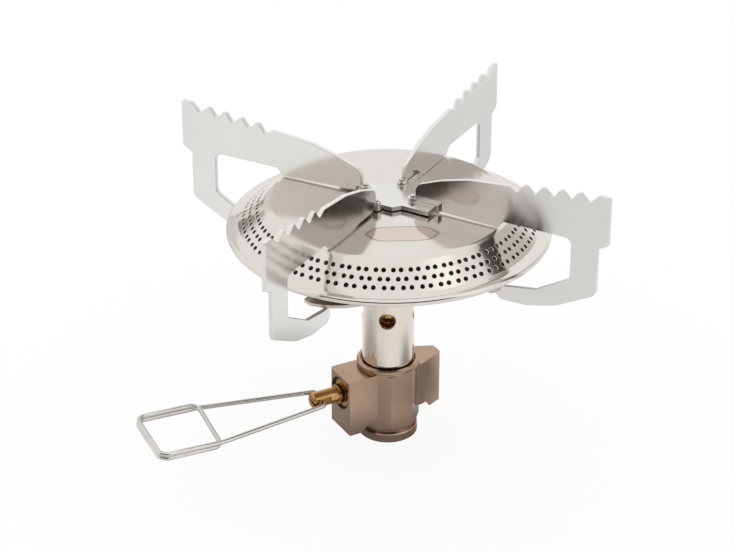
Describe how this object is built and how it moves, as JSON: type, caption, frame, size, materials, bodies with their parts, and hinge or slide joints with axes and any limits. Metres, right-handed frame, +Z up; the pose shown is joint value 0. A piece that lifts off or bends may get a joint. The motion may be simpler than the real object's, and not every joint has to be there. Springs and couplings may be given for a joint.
{
  "type": "camping stove",
  "caption": "Folding gas burner that screws on a cartridge: brown valve body, plated tube, perforated round head, swinging toothed pot supports and a looped wire valve handle.",
  "frame": {"origin": "centre of the cartridge socket's mouth, on the burner's axis, at the bottom face of the valve body", "axes": "+Z up along the burner's axis; the four open pot supports point along +X, +Y, -X and -Y; the valve spindle points out 238 degrees from +X, seen from above"},
  "size_m": [0.1612, 0.1638, 0.1101],
  "materials": {
    "anodised_body": "satin bronze-brown anodised",
    "plated_tube": "polished nickel plate",
    "polished_cap": "polished stainless steel",
    "pressed_steel": "pressed stainless steel",
    "polished_steel": "polished stainless steel",
    "brushed_sheet": "satin stainless steel",
    "steel_wire": "drawn stainless wire",
    "brass": "machined",
    "sintered_bronze": "sintered, matt",
    "black_rubber": "matt"
  },
  "bodies": {
    "stove": {"valve_body": "anodised_body", "cartridge_seal": "black_rubber", "depressor": "brass", "inlet_filter": "sintered_bronze", "gland_nut": "brass", "spindle_oring": "black_rubber", "dust_ring": "black_rubber", "burner_tube": "plated_tube", "gas_riser": "brass", "jet": "brass", "burner_bowl": "pressed_steel", "burner_cap": "polished_cap", "tube_nut": "brass", "baffle": "pressed_steel", "head_rivet": "polished_steel", "lower_plate": "pressed_steel", "pivot_plate": "polished_steel", "hinge_pin_1": "polished_steel", "hinge_pin_2": "polished_steel", "hinge_pin_3": "polished_steel", "hinge_pin_4": "polished_steel"},
    "spindle": {"spindle": "brass"},
    "handle": {"wire_handle": "steel_wire"},
    "support_1": {"pot_support_1": "brushed_sheet"},
    "support_2": {"pot_support_2": "brushed_sheet"},
    "support_3": {"pot_support_3": "brushed_sheet"},
    "support_4": {"pot_support_4": "brushed_sheet"}
  },
  "joints": [
    {"name": "support_1_fold", "type": "hinge", "parent": "stove", "child": "support_1", "pos_m": [0.009, 0, 0.0931], "axis": [0, 0, 1], "range_deg": [0, 90]},
    {"name": "support_2_fold", "type": "hinge", "parent": "stove", "child": "support_2", "pos_m": [0, 0.009, 0.0931], "axis": [0, 0, 1], "range_deg": [-0.5, 89.5]},
    {"name": "support_3_fold", "type": "hinge", "parent": "stove", "child": "support_3", "pos_m": [-0.009, 0, 0.0931], "axis": [0, 0, 1], "range_deg": [-1.7, 88.3]},
    {"name": "support_4_fold", "type": "hinge", "parent": "stove", "child": "support_4", "pos_m": [0, -0.009, 0.0931], "axis": [0, 0, 1], "range_deg": [0, 90]},
    {"name": "spindle_turn", "type": "hinge", "parent": "stove", "child": "spindle", "pos_m": [0, 0, 0.0198], "axis": [-0.5299, -0.848, 0], "range_deg": [0, 540]},
    {"name": "handle_swing", "type": "hinge", "parent": "spindle", "child": "handle", "pos_m": [-0.0141, -0.02256, 0.0198], "axis": [-0.831, 0.5193, 0.1994], "range_deg": [-24, 56]}
  ]
}
